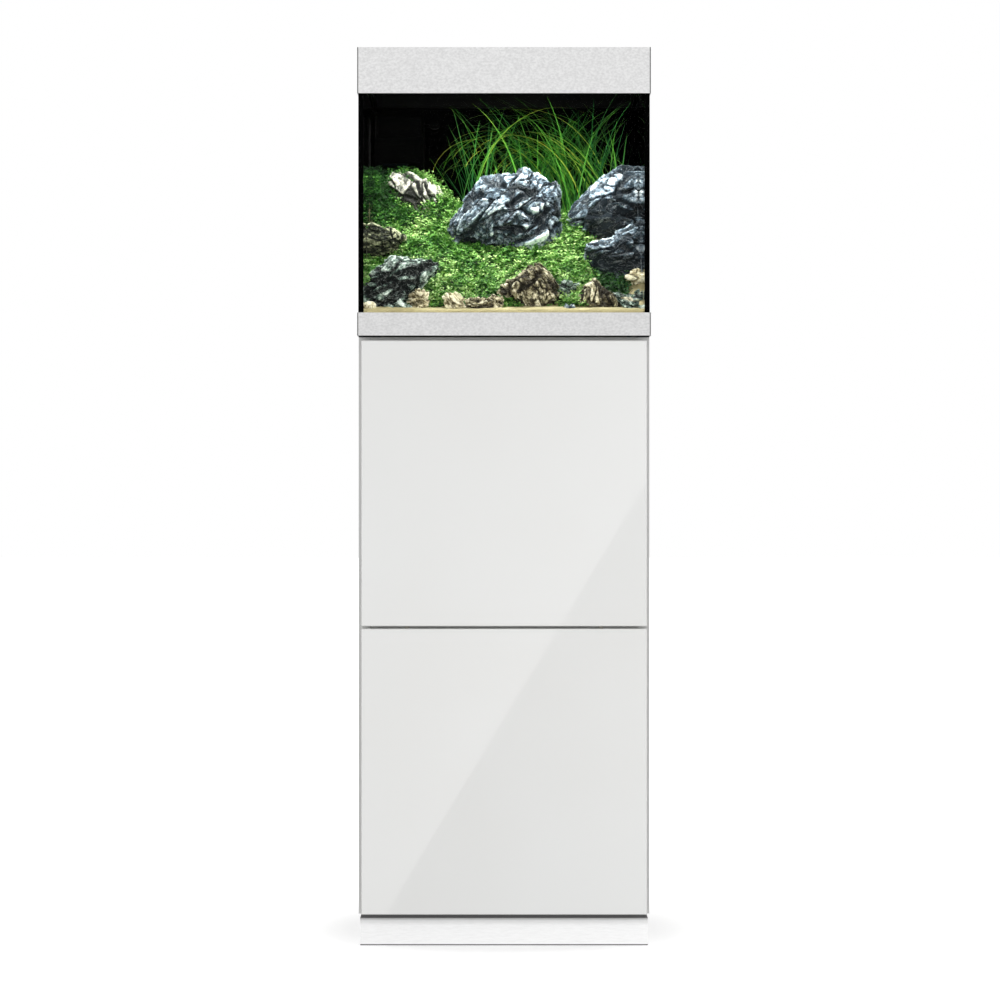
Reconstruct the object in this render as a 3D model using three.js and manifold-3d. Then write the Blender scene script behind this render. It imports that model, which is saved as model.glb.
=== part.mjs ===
// A column aquarium on its cabinet, in millimetres, +Z up, front facing -Y.
// The origin is on the floor, under the middle of the footprint.
//
// A furniture-board cabinet on an aluminium-faced plinth carries two stacked push-to-open doors on
// single-pivot cup hinges. A glued glass tank stands on it in an aluminium base trim, planted with
// rocks, grass and a carpet plant, and holds a corner filter with its heater. An aluminium hood with
// a light bar and a hinged feeding lid lifts off the top.
import * as THREE from "three";
import { mergeVertices } from "three/addons/utils/BufferGeometryUtils.js";
import Module from "manifold-3d";

const wasm = await Module();
wasm.setup();

// ---------------------------------------------------------------- driving dimensions
const WIDTH = 452.6; // over the aluminium trims, and the depth too
const GAP = 0.3; // between pieces that touch

const DOOR_BOTTOM = 53;
const DOOR_HEIGHT = 440.5;
const DOOR_SPACE = 4; // between the two doors
const TANK_LIFT = 7.5; // from the upper door's top edge to the tank's underside
const TANK_HEIGHT = 444.5; // to the top of the hood
const TRIM_HEIGHT = 35.5;
const HOOD_HEIGHT = 71;

const BOARD = 18;
const CABINET_WIDTH = 450;
const CABINET_BACK = 225;
const CABINET_BOTTOM = 51.5;
const CABINET_LIP = 6; // the carcass stands this far above the upper door
const DOOR_WIDTH = 441;
const DOOR_THICKNESS = 18;
const DOOR_FRONT = -226;
const DOOR_CLEARANCE = 4.2; // behind the doors, for the push latch
const PLINTH_WIDTH = 447;
const PLINTH_BOARD = 16;
const PLINTH_SETBACK = 15; // behind the carcass's front edge
const PLINTH_FACE = 43; // height of its faces, under a shadow groove
const GROOVE_DEPTH = 3;

const SHEET = 1; // aluminium trims
const BEND = 1.8; // outside corner radius of the trims
const GLASS = 6;
const BASE_GLASS = 8;
const JOINT = 1; // silicone between two panes

// ---------------------------------------------------------------- levels and planes
const doorTop = DOOR_BOTTOM + 2 * DOOR_HEIGHT + DOOR_SPACE;
const cabinetTop = doorTop + CABINET_LIP;
const tankBottom = doorTop + TANK_LIFT;
const trimTop = tankBottom + TRIM_HEIGHT;
const tankTop = tankBottom + TANK_HEIGHT;
const hoodBottom = tankTop - HOOD_HEIGHT;
const half = WIDTH / 2;
const doorBack = DOOR_FRONT + DOOR_THICKNESS;
const cabinetFront = doorBack + DOOR_CLEARANCE;
const cabinetInside = CABINET_WIDTH / 2 - BOARD;
const glassOutside = half - SHEET - GAP;
const glassInside = glassOutside - GLASS;
const paneGap = JOINT + 2 * GAP;
const baseFrameTop = tankBottom + 5;
const baseGlassTop = baseFrameTop + GAP + BASE_GLASS;
const paneBottom = baseGlassTop + paneGap;
const paneTop = tankTop - 25;

// ---------------------------------------------------------------- materials
function material(color, roughness, metalness = 0, extra = {}) {
  return new THREE.MeshStandardMaterial({ color, roughness, metalness, ...extra });
}
const glossWhite = material(0xe6e7e4, 0.12);
const boardWhite = material(0xdcdcd8, 0.45);
const brushedAluminium = material(0xdededc, 0.38, 0.9);
const steel = material(0xb9bcc0, 0.3, 0.9);
const clearGlass = material(0xdfeee9, 0.03, 0, { transparent: true, opacity: 0.3 });
const blackSilicone = material(0x0a0a0a, 0.45);
const blackPlastic = material(0x141414, 0.5);
const blackFilm = material(0x050505, 0.7);
const rubber = material(0x101010, 0.8);
const clearRubber = material(0xd9d4c4, 0.3);
const diffuserWhite = material(0xf7f9ff, 0.4);
const foamBlack = material(0x0f1214, 0.95);
const sand = material(0xe0cf94, 0.95);
const greyStone = material(0x6e7684, 0.85);
const brownStone = material(0x8c8069, 0.9);
const grassGreen = material(0x3f9a2e, 0.55);
const carpetGreen = material(0x6fa53a, 0.6);

// ---------------------------------------------------------------- shapes
// A box from its spans along X, Y and Z.
function block([x0, x1], [y0, y1], [z0, z1]) {
  const box = new THREE.BoxGeometry(x1 - x0, y1 - y0, z1 - z0);
  return box.translate((x0 + x1) / 2, (y0 + y1) / 2, (z0 + z1) / 2);
}

// A cylinder of one radius along "x", "y" or "z", from one end to the other, centred on [a, b],
// which are its other two coordinates in X, Y, Z order.
function rod(axis, radius, from, to, [a, b], sides = 24) {
  const bar = new THREE.CylinderGeometry(radius, radius, to - from, sides);
  const middle = (from + to) / 2;
  if (axis === "x") return bar.rotateZ(-Math.PI / 2).translate(middle, a, b);
  if (axis === "y") return bar.translate(a, middle, b);
  return bar.rotateX(Math.PI / 2).translate(a, b, middle);
}

function roundedRectangle(width, depth, radius, path = new THREE.Shape()) {
  const x = width / 2 - radius;
  const y = depth / 2 - radius;
  path.absarc(x, y, radius, 0, Math.PI / 2);
  path.absarc(-x, y, radius, Math.PI / 2, Math.PI);
  path.absarc(-x, -y, radius, Math.PI, 1.5 * Math.PI);
  path.absarc(x, -y, radius, 1.5 * Math.PI, 2 * Math.PI);
  return path;
}

// A square tube standing on level z0, with bent corners.
function bentBand(outside, wall, radius, z0, z1) {
  const shape = roundedRectangle(outside, outside, radius);
  const inside = outside - 2 * wall;
  shape.holes.push(roundedRectangle(inside, inside, radius - wall, new THREE.Path()));
  const band = new THREE.ExtrudeGeometry(shape, {
    depth: z1 - z0,
    bevelEnabled: false,
    curveSegments: 2,
  });
  return band.translate(0, 0, z0);
}

// A square frame with sharp corners, from its outer and inner half widths.
function squareRing(outer, inner, [z0, z1]) {
  const plate = block([-outer, outer], [-outer, outer], [z0, z1]);
  return cut(plate, block([-inner, inner], [-inner, inner], [z0 - 1, z1 + 1]));
}

// ---------------------------------------------------------------- joins and cuts
function toSolid(geometry) {
  const bare = geometry.index ? geometry.toNonIndexed() : geometry.clone();
  bare.deleteAttribute("normal");
  bare.deleteAttribute("uv");
  const merged = mergeVertices(bare, 1e-4);
  return new wasm.Manifold(
    new wasm.Mesh({
      numProp: 3,
      vertProperties: merged.attributes.position.array,
      triVerts: new Uint32Array(merged.index.array),
    }),
  );
}

function toGeometry(solid) {
  const { vertProperties, triVerts } = solid.getMesh();
  const geometry = new THREE.BufferGeometry();
  geometry.setAttribute("position", new THREE.BufferAttribute(vertProperties, 3));
  geometry.setIndex(new THREE.BufferAttribute(triVerts, 1));
  geometry.computeVertexNormals();
  return geometry;
}

function join(...geometries) {
  return toGeometry(geometries.map(toSolid).reduce((whole, next) => whole.add(next)));
}

function cut(geometry, ...tools) {
  const rest = tools.reduce((body, tool) => body.subtract(toSolid(tool)), toSolid(geometry));
  return toGeometry(rest);
}

// The largest body that a cut leaves, where a neighbour cuts slivers off.
function largestBody(geometry) {
  const bodies = toSolid(geometry).decompose();
  return toGeometry(bodies.reduce((big, next) => (next.volume() > big.volume() ? next : big)));
}

// ---------------------------------------------------------------- scene graph
const aquarium = new THREE.Group();

function assembly(parent = aquarium) {
  const group = new THREE.Group();
  parent.add(group);
  return group;
}

function add(group, name, geometry, look, [x, y, z] = [0, 0, 0]) {
  const mesh = new THREE.Mesh(geometry, look);
  mesh.name = name;
  mesh.position.set(x, y, z);
  group.add(mesh);
  return mesh;
}

// A board or pane, made about its own middle and put in place by its position.
function addBoard(group, name, [x0, x1], [y0, y1], [z0, z1], look) {
  const board = new THREE.BoxGeometry(x1 - x0, y1 - y0, z1 - z0);
  return add(group, name, board, look, [(x0 + x1) / 2, (y0 + y1) / 2, (z0 + z1) / 2]);
}

// ---------------------------------------------------------------- cabinet
const PANEL_BACK = 216; // front face of the back panel
const PANEL_THICKNESS = 5;
const CABLE_CUTOUT = { width: 90, height: 45, fromTop: 60 };
const shelfMiddle = DOOR_BOTTOM + DOOR_HEIGHT + DOOR_SPACE / 2;

function buildCabinet(group) {
  const outside = CABINET_WIDTH / 2;
  const depth = [cabinetFront, CABINET_BACK];
  const height = [CABINET_BOTTOM, cabinetTop];
  addBoard(group, "side_panel_left", [-outside, -cabinetInside], depth, height, glossWhite);
  addBoard(group, "side_panel_right", [cabinetInside, outside], depth, height, glossWhite);

  const between = [-cabinetInside + GAP, cabinetInside - GAP];
  const inner = [cabinetFront, PANEL_BACK - GAP];
  addBoard(group, "top_panel", between, inner, [cabinetTop - BOARD, cabinetTop], boardWhite);
  const shelf = [shelfMiddle - BOARD / 2, shelfMiddle + BOARD / 2];
  addBoard(group, "middle_shelf", between, inner, shelf, boardWhite);
  const floor = [CABINET_BOTTOM, CABINET_BOTTOM + BOARD];
  addBoard(group, "bottom_panel", between, inner, floor, boardWhite);
  add(group, "back_panel", backPanel(between, height), boardWhite);
  add(group, "plinth_frame", plinthFrame(), brushedAluminium);
  for (const [side, x] of [["left", -150], ["right", 150]]) {
    add(group, `door_bumper_${side}`, bumperDome(), clearRubber, [x, cabinetFront - GAP, shelfMiddle]);
  }
  for (const [side, sign] of [["left", -1], ["right", 1]]) {
    add(group, `tank_strip_${side}`, supportStrip(sign), rubber);
  }
}

// The thin back panel has one rounded cable cut-out in each compartment.
function backPanel(width, height) {
  const panel = block(width, [PANEL_BACK, PANEL_BACK + PANEL_THICKNESS], height);
  const cutouts = [cabinetTop, shelfMiddle].map((top) => {
    const { width: w, height: h, fromTop } = CABLE_CUTOUT;
    const oval = roundedRectangle(w, h, h / 2 - 1);
    const tool = new THREE.ExtrudeGeometry(oval, { depth: 20, bevelEnabled: false, curveSegments: 3 });
    return tool.rotateX(Math.PI / 2).translate(0, PANEL_BACK + 15, top - fromTop);
  });
  return cut(panel, ...cutouts);
}

// Four boards under the cabinet. A groove round the top sets the faces off from the carcass.
function plinthFrame() {
  const x = PLINTH_WIDTH / 2;
  const y0 = cabinetFront + PLINTH_SETBACK;
  const y1 = CABINET_BACK - PLINTH_SETBACK;
  const top = CABINET_BOTTOM - GAP;
  const g = GROOVE_DEPTH;
  const t = PLINTH_BOARD;
  const faces = block([-x, x], [y0, y1], [0, PLINTH_FACE]);
  const neck = block([g - x, x - g], [y0 + g, y1 - g], [PLINTH_FACE - 1, top]);
  return cut(join(faces, neck), block([t - x, x - t], [y0 + t, y1 - t], [-1, top + 1]));
}

// A self-adhesive door bumper, a low dome facing the doors.
function bumperDome() {
  const radius = 4;
  const rise = 3;
  const profile = [new THREE.Vector2(0, 0), new THREE.Vector2(radius, 0)];
  for (let i = 0; i <= 3; i++) {
    const turn = (i / 3) * (Math.PI / 2);
    profile.push(new THREE.Vector2(radius * Math.cos(turn), 1 + (rise - 1) * Math.sin(turn)));
  }
  const axisEnd = profile.pop();
  profile.push(new THREE.Vector2(0, axisEnd.y));
  return new THREE.LatheGeometry(profile, 12).rotateX(Math.PI);
}

// Rubber strips under the tank's two sides carry its weight on the carcass.
function supportStrip(sign) {
  const edge = half - 1.5;
  const width = 10;
  const x = sign < 0 ? [-edge, width - edge] : [edge - width, edge];
  return block(x, [cabinetFront, CABINET_BACK - 4], [cabinetTop + GAP, tankBottom - GAP]);
}

// ---------------------------------------------------------------- doors, hinges and latches
// The hinge pin stands this far in from the door's hinge edge and behind its front face. With
// DOOR_CLEARANCE behind the door, its back corner passes the carcass as the door turns.
const PIN_INSET = 9;
const PIN_DEPTH = 8.5;
const CUP_RADIUS = 17.3;
const CUP_WALL = 0.7;
const CUP_INSET = 22.5; // cup centre from the door's edge
const CUP_FLOOR = 5.2; // door skin left in front of the cup
const HINGE_FROM_END = 90;
const PIN_RADIUS = 1;
const pinX = -DOOR_WIDTH / 2 + PIN_INSET;
const pinY = DOOR_FRONT + PIN_DEPTH;
const cupX = CUP_INSET - PIN_INSET; // cup centre, from the pin

const DOORS = [
  { name: "upper", bottom: DOOR_BOTTOM + DOOR_HEIGHT + DOOR_SPACE },
  { name: "lower", bottom: DOOR_BOTTOM },
];

function buildDoor({ name, bottom }) {
  const group = assembly();
  const hingeLevels = [
    ["top", bottom + DOOR_HEIGHT - HINGE_FROM_END],
    ["bottom", bottom + HINGE_FROM_END],
  ];
  add(group, `${name}_door`, doorPanel(bottom, hingeLevels), glossWhite);
  for (const [end, level] of hingeLevels) {
    const hinge = assembly(group);
    hinge.position.set(pinX, pinY, level);
    add(hinge, `${name}_hinge_arm_${end}`, hingeArm(), steel);
    add(hinge, `${name}_hinge_cup_${end}`, hingeCup(), steel);
    add(hinge, `${name}_hinge_pin_${end}`, rod("z", PIN_RADIUS, -9.6, 9.6, [0, 0], 12), steel);
  }
  buildLatch(group, name, bottom + DOOR_HEIGHT / 2);
}

function doorPanel(bottom, hingeLevels) {
  const edge = 1.2; // chamfer round the lacquered front
  const shape = roundedRectangle(DOOR_WIDTH - 2 * edge, DOOR_HEIGHT - 2 * edge, edge);
  const slab = new THREE.ExtrudeGeometry(shape, {
    depth: DOOR_THICKNESS - edge,
    bevelThickness: edge,
    bevelSize: edge,
    bevelSegments: 1,
    curveSegments: 2,
  });
  // The extrusion has a bevel on both ends, and the back one is cut off square.
  slab.rotateX(Math.PI / 2).translate(0, doorBack, bottom + DOOR_HEIGHT / 2);
  const behind = block([-half, half], [doorBack - edge, doorBack + 40], [0, tankTop]);
  const backLayer = block(
    [-DOOR_WIDTH / 2, DOOR_WIDTH / 2],
    [doorBack - edge - 0.5, doorBack],
    [bottom, bottom + DOOR_HEIGHT],
  );
  const panel = join(cut(slab, behind), backLayer);
  const bores = hingeLevels.map(([, level]) =>
    rod("y", CUP_RADIUS + GAP, DOOR_FRONT + CUP_FLOOR, doorBack + 5, [pinX + cupX, level]),
  );
  return cut(panel, ...bores);
}

// Round steel cup pressed into the door, open to the back, with two screw ears on the door's back
// face and a hole on each side for the pin. Its origin is the pin.
function hingeCup() {
  const floor = CUP_FLOOR + GAP - PIN_DEPTH;
  const rim = DOOR_THICKNESS - PIN_DEPTH;
  const ears = block([cupX - 7, cupX + 7], [rim + GAP, rim + 1.3], [-27, 27]);
  const shell = rod("y", CUP_RADIUS, floor, rim + 1.3, [cupX, 0]);
  const hollow = rod("y", CUP_RADIUS - CUP_WALL, floor + CUP_WALL, rim + 5, [cupX, 0]);
  const trimmed = cut(shell, block([-6, cupX - 7], [rim, rim + 5], [-20, 20]));
  const pinHole = rod("z", PIN_RADIUS + GAP, -12, 12, [0, 0], 12);
  return cut(join(trimmed, ears), hollow, pinHole);
}

// Gooseneck arm fixed to the side panel. It reaches into the cup and hooks round to the pin, which
// leaves the cup's rim free to turn past it. Its origin is the pin.
function hingeArm() {
  const neck = [-4.5, 4.5];
  const back = 23;
  const plate = -CABINET_WIDTH / 2 + BOARD - pinX + GAP; // the side panel's inner face
  const eye = rod("z", 2.1, ...neck, [0, 0], 16);
  const hook = block([0.5, 16.2], [-2, -0.4], neck);
  const reach = block([13.2, 16.2], [-2, back], neck);
  const crank = block([plate, 16.2], [back - 3, back], [-6, 6]);
  const leg = block([plate, plate + 3], [back - 3, 72], [-10, 10]);
  const body = block([plate, plate + 9], [32, 66], [-7, 7]);
  const arm = join(eye, hook, reach, crank, leg, body);
  return cut(arm, rod("z", PIN_RADIUS + GAP, -12, 12, [0, 0], 12));
}

// Push latch on the right-hand side panel: a housing with a sprung plunger that meets the door.
function buildLatch(group, name, level) {
  const latch = assembly(group);
  latch.position.set(cabinetInside - GAP, cabinetFront, level);
  const centre = [-10, 0];
  const body = block([-20, 0], [1, 72], [-10, 10]);
  const bore = rod("y", 4.6, 0, 52, centre);
  add(latch, `${name}_latch_body`, cut(body, bore), boardWhite);
  const tip = 1 - DOOR_CLEARANCE;
  const plunger = join(rod("y", 4, tip + 3, 45, centre), rod("y", 6, tip, tip + 3, centre));
  add(latch, `${name}_latch_plunger`, plunger, boardWhite);
}

// ---------------------------------------------------------------- tank
function buildTank(group) {
  add(group, "base_trim", bentBand(WIDTH, SHEET, BEND, tankBottom, trimTop), brushedAluminium);
  const baseFrame = squareRing(glassOutside - 0.5, glassInside - 24, [tankBottom, baseFrameTop]);
  add(group, "base_frame", baseFrame, blackPlastic);

  const o = glassOutside;
  const i = glassInside;
  const between = [-i + paneGap, i - paneGap];
  const wall = [paneBottom, paneTop];
  addBoard(group, "bottom_glass", [-o, o], [-o, o], [baseFrameTop + GAP, baseGlassTop], clearGlass);
  addBoard(group, "front_glass", [-o, o], [-o, -i], wall, clearGlass);
  addBoard(group, "rear_glass", [-o, o], [i, o], wall, clearGlass);
  addBoard(group, "left_glass", [-o, -i], between, wall, clearGlass);
  addBoard(group, "right_glass", [i, o], between, wall, clearGlass);
  add(group, "silicone_seal", siliconeSeal(), blackSilicone);
  const film = [o + GAP, o + GAP + 0.6];
  addBoard(group, "background_film", [4 - o, o - 4], film, [trimTop + 1, hoodBottom - 1], blackFilm);
}

// All the silicone is one cured body: a layer under the four walls, a layer in each upright corner
// and a bead along each inside corner.
function siliconeSeal() {
  const lap = 0.2; // so that no two pieces share a plane
  const face = glassInside - GAP;
  const bead = face - 1.6;
  const layer = [baseGlassTop + GAP, baseGlassTop + GAP + JOINT];
  const upright = [layer[0] + lap, paneTop - 15];
  const pieces = [squareRing(glassOutside, bead - lap, layer)];
  for (const [sx, sy] of [[-1, -1], [1, -1], [-1, 1], [1, 1]]) {
    const between = (end, start, sign) => [sign * start, sign * end].sort(ascending);
    const joint = between(face, face - JOINT, sy);
    pieces.push(block(between(glassOutside - lap, bead + lap, sx), joint, upright));
    pieces.push(block(between(face, bead, sx), between(face - lap, bead - 1, sy), upright));
  }
  return join(...pieces);
}

function ascending(a, b) {
  return a - b;
}

// ---------------------------------------------------------------- aquascape
const SAND_EDGE = glassInside - 2.3; // the sand stops short of the corner beads
const SAND_FLOOR = baseGlassTop + 1.6;
const FRONT_SAND = 988; // level of the sand behind the front pane
const BANK = 158; // how much higher the bank stands at the back
const BANK_TOP = 0.8; // share of the depth where the bank levels off
const KNOLL = 38; // further rise in the rear left corner
const SAND_GRID = 12;
const CLEAR = 0.4; // plants and rocks over the sand

const FILTER = { x: [-213.5, -133.5], y: [133, 211], bottom: 962, top: 1295 };

// How far a place lies into the rear left corner, from 0 to 1.
function rearLeft(x, y) {
  return THREE.MathUtils.smoothstep(-x, 30, 150) * THREE.MathUtils.smoothstep(y, 0, 100);
}

// The bank rises from the front pane and levels off towards the back.
function sandLevel(x, y) {
  const depth = (y + SAND_EDGE) / (2 * SAND_EDGE);
  const rise = THREE.MathUtils.smoothstep(depth, 0, BANK_TOP);
  const roll = 3 * Math.sin(x / 38) + 2 * Math.cos(x / 17 + y / 60);
  return FRONT_SAND + BANK * rise + KNOLL * rearLeft(x, y) + roll * (0.3 + 0.7 * rise);
}

// A block with a shaped top, on a grid that is finer than the shape.
function mound([x0, x1], [y0, y1], floor, level) {
  const width = x1 - x0;
  const depth = y1 - y0;
  const box = new THREE.BoxGeometry(width, depth, 1, SAND_GRID, SAND_GRID, 1);
  box.translate((x0 + x1) / 2, (y0 + y1) / 2, 0.5);
  const point = box.attributes.position;
  for (let i = 0; i < point.count; i++) {
    const top = point.getZ(i) > 0.5;
    point.setZ(i, top ? level(point.getX(i), point.getY(i)) : floor);
  }
  return box;
}

const filterPocket = block(
  FILTER.x.map((x, i) => x + (i ? 1 : -1)),
  FILTER.y.map((y, i) => y + (i ? 1 : -1)),
  [0, tankTop],
);
const sandMound = mound([-SAND_EDGE, SAND_EDGE], [-SAND_EDGE, SAND_EDGE], SAND_FLOOR, sandLevel);
const sandBed = cut(sandMound, filterPocket);
const overSand = sandBed.clone().translate(0, 0, CLEAR);

// Each rock is a lump about its centre. Its outline is seen from the front, as [x, z] corners
// from the centre, anticlockwise from the left; depth is half its size from front to back.
const ROCKS = [
  {
    name: "centre_rock",
    look: greyStone,
    centre: [0, 0, 1157],
    depth: 58,
    outline: [
      [-95, -24], [-73, -51], [-25, -59], [39, -72], [84, -59], [90, -30], [95, 27],
      [84, 46], [63, 53], [49, 69], [26, 66], [-6, 61], [-31, 58], [-54, 34],
    ],
  },
  {
    name: "right_rock_upper",
    look: greyStone,
    centre: [170, 60, 1160],
    depth: 56,
    outline: [
      [-73, -25], [-40, -30], [-7, -54], [28, -58], [44, -58], [44, 94], [22, 78], [-17, 51], [-54, 16],
    ],
  },
  {
    name: "right_rock_lower",
    look: greyStone,
    centre: [176, -44, 1080],
    depth: 46,
    outline: [
      [-47, 23], [-40, -32], [-1, -52], [25, -50], [38, -34], [38, 5], [38, 82], [20, 44], [-10, 27],
    ],
  },
  {
    name: "left_rear_rock",
    look: brownStone,
    centre: [-147, 92, 1192],
    depth: 36,
    outline: [
      [-53, 9], [-32, -14], [-2, -34], [20, -34], [53, -8], [37, 15], [7, 28], [-19, 38], [-41, 35],
    ],
  },
  {
    name: "left_middle_rock",
    look: brownStone,
    centre: [-188, -58, 1108],
    depth: 26,
    outline: [[-24, 4], [-24, -24], [-4, -28], [16, -14], [33, 4], [7, 14], [-18, 26]],
  },
  {
    name: "left_front_rock",
    look: greyStone,
    centre: [-165, -163, 1030],
    depth: 42,
    outline: [
      [-48, -18], [-44, -46], [6, -44], [14, -17], [48, 10], [73, 31], [26, 38], [-9, 41], [-41, 8],
    ],
  },
  {
    name: "front_rock",
    look: brownStone,
    centre: [45, -165, 1025],
    depth: 34,
    outline: [
      [-60, -6], [-36, -20], [-23, -38], [2, -42], [37, -38], [39, 0], [13, 36], [-7, 33], [-20, 19],
    ],
  },
  {
    name: "front_right_rock",
    look: brownStone,
    centre: [150, -162, 1005],
    depth: 28,
    outline: [[-34, 5], [-31, -20], [-6, -24], [40, -22], [48, -8], [36, 6], [11, 11], [-7, 31], [-23, 22]],
  },
];

// How far the outline lies from its centre in the direction of an angle.
function outlineRadius(outline, angle) {
  const dx = Math.cos(angle);
  const dz = Math.sin(angle);
  let radius = 0;
  outline.forEach(([ax, az], i) => {
    const [bx, bz] = outline[(i + 1) % outline.length];
    const across = dx * (bz - az) - dz * (bx - ax);
    const along = (ax * (bz - az) - az * (bx - ax)) / across;
    const share = (ax * dz - az * dx) / across;
    if (along > 0 && share >= 0 && share <= 1) radius = Math.max(radius, along);
  });
  return radius;
}

function rockLump({ outline, depth }, detail = 3) {
  const ball = new THREE.IcosahedronGeometry(1, detail);
  const point = ball.attributes.position;
  for (let i = 0; i < point.count; i++) {
    const [x, y, z] = [point.getX(i), point.getY(i), point.getZ(i)];
    const reach = outlineRadius(outline, Math.atan2(z, x));
    const chip = 1 - 0.03 * Math.abs(Math.sin(5 * x + 2) * Math.sin(6 * y + 1) * Math.sin(4 * z));
    point.setXYZ(i, x * reach * chip, y * depth * chip, z * reach * chip);
  }
  return ball;
}

const rocks = ROCKS.map((rock) => ({ ...rock, lump: rockLump(rock) }));

// Whatever lies round a rock is cut back with the lump a little enlarged.
function rockSpace({ lump, centre }) {
  return lump.clone().scale(1.04, 1.04, 1.04).translate(...centre);
}

function buildAquascape(group) {
  add(group, "sand_bed", sandBed, sand);
  rocks.forEach((rock, i) => {
    const ground = overSand.clone().translate(...rock.centre.map((c) => -c));
    const nearer = rocks.slice(0, i).map((other) =>
      rockSpace(other).translate(...rock.centre.map((c) => -c)),
    );
    add(group, rock.name, largestBody(cut(rock.lump, ground, ...nearer)), rock.look, rock.centre);
  });
  add(group, "grass_plant", grassClump(), grassGreen);
  add(group, "carpet_plant", carpetLayer(), carpetGreen);
}

// The space that the grass fills, a fan spreading from the bank to the water's surface.
function grassClump() {
  const outline = [
    [-60, 1120], [190, 1120], [209, 1200], [206, 1340], [-60, 1346], [-92, 1270], [-80, 1190],
  ];
  const fan = new THREE.Shape(outline.map(([x, z]) => new THREE.Vector2(x, z)));
  const solid = new THREE.ExtrudeGeometry(fan, { depth: 64, bevelEnabled: false });
  solid.rotateX(Math.PI / 2).translate(0, 196, 0);
  return largestBody(cut(solid, overSand));
}

// A low mat on the bank, thinning out to its edges, with the rocks and the filter left clear.
function carpetLayer() {
  const x = [-214, 152];
  const y = [-186, 128];
  const level = (px, py) => {
    const edgeX = (x[1] - px) / 45;
    const edgeY = Math.min(py - y[0], y[1] - py + 20) / 40;
    const fade = THREE.MathUtils.clamp(Math.min(edgeX, edgeY), 0, 1);
    return sandLevel(px, py) + 3 + (20 + 34 * rearLeft(px, py)) * fade;
  };
  const layer = mound(x, y, SAND_FLOOR, level);
  return largestBody(cut(layer, overSand, ...rocks.map(rockSpace)));
}

// ---------------------------------------------------------------- filter
function buildFilter(group) {
  const { x, y, bottom, top } = FILTER;
  add(group, "filter_housing", filterHousing(), blackPlastic);
  const foam = block([x[0] + 4, x[1] - 28], [y[0] + 4, y[1] - 4], [bottom + 4, top - 30]);
  add(group, "filter_foam", foam, foamBlack);
  const heater = rod("z", 9, bottom + 20, top - 25, [x[1] - 14, y[0] + 20]);
  add(group, "heater_tube", heater, clearGlass);

  const head = top + GAP;
  const shape = roundedRectangle(x[1] - x[0], y[1] - y[0], 5);
  const cap = new THREE.ExtrudeGeometry(shape, {
    depth: 33,
    bevelThickness: 1.5,
    bevelSize: 1.5,
    bevelOffset: -1.5,
    bevelSegments: 1,
    curveSegments: 3,
  });
  add(group, "pump_head", cap, blackPlastic, [(x[0] + x[1]) / 2, (y[0] + y[1]) / 2, head + 1.5]);

  // The outlet elbow turns on its stub, along X.
  const outlet = assembly(group);
  outlet.position.set(x[1] + GAP, y[0] + 26, top + 19);
  add(outlet, "outlet_nozzle", outletNozzle(), blackPlastic);
}

function filterHousing() {
  const { x, y, bottom, top } = FILTER;
  const wall = 2.5;
  const slotPitch = 11;
  const shell = cut(
    block(x, y, [bottom, top]),
    block([x[0] + wall, x[1] - wall], [y[0] + wall, y[1] - wall], [bottom + wall, top + 1]),
  );
  const slots = [];
  for (let i = 0; i < 9; i++) {
    const z = [1160 + i * slotPitch, 1164 + i * slotPitch];
    slots.push(block([x[0] + 12, x[1] - 12], [y[0] - 1, y[0] + wall + 1], z));
    slots.push(block([x[1] - wall - 1, x[1] + 1], [y[0] + 12, y[1] - 12], z));
  }
  return cut(shell, ...slots);
}

function outletNozzle() {
  const stub = rod("x", 6.5, 0, 22, [0, 0], 12);
  const knuckle = new THREE.SphereGeometry(8.5, 12, 8).translate(18, 0, 0);
  const spout = new THREE.CylinderGeometry(7.5, 5.5, 34, 16).scale(1.25, 1, 0.7);
  return join(stub, knuckle, spout.rotateZ(Math.PI).translate(18, -20, 0));
}

// ---------------------------------------------------------------- hood
const LID_PIN = { y: 20, z: tankTop - 4, radius: 1.5 };
const KNUCKLE = 3.4;
const LID_TOP = tankTop - 0.5;
const LID_THICKNESS = 4;
const lidBottom = LID_TOP - LID_THICKNESS;
const frameWall = glassOutside - 3;
const deckFront = LID_PIN.y + 4.2;
const HINGE_LUGS = [[-219, -200], [-10, 10], [200, 219]];
const LID_KNUCKLES = [[-199.5, -10.5], [10.5, 199.5]];
const FINGER_NOTCH = { half: 30, depth: 16 };
const CABLE_SLOT = [60, 140];

function buildHood(group) {
  const slot = block(CABLE_SLOT, [204, half + 1], [tankTop - 7.4, tankTop + 1]);
  const band = bentBand(WIDTH, SHEET, BEND, hoodBottom, tankTop);
  add(group, "hood_band", cut(band, slot), brushedAluminium);
  add(group, "hood_frame", cut(hoodFrame(), slot), blackPlastic);
  add(group, "feeding_lid", feedingLid(), brushedAluminium);
  const pin = rod("x", LID_PIN.radius, -217, 217, [0, 0], 12);
  add(group, "lid_pin", pin, steel, [0, LID_PIN.y, LID_PIN.z]);
  buildLight(assembly(group));
}

function lidPinHole() {
  const reach = 218;
  return rod("x", LID_PIN.radius + GAP, -reach, reach, [LID_PIN.y, LID_PIN.z], 12);
}

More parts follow.
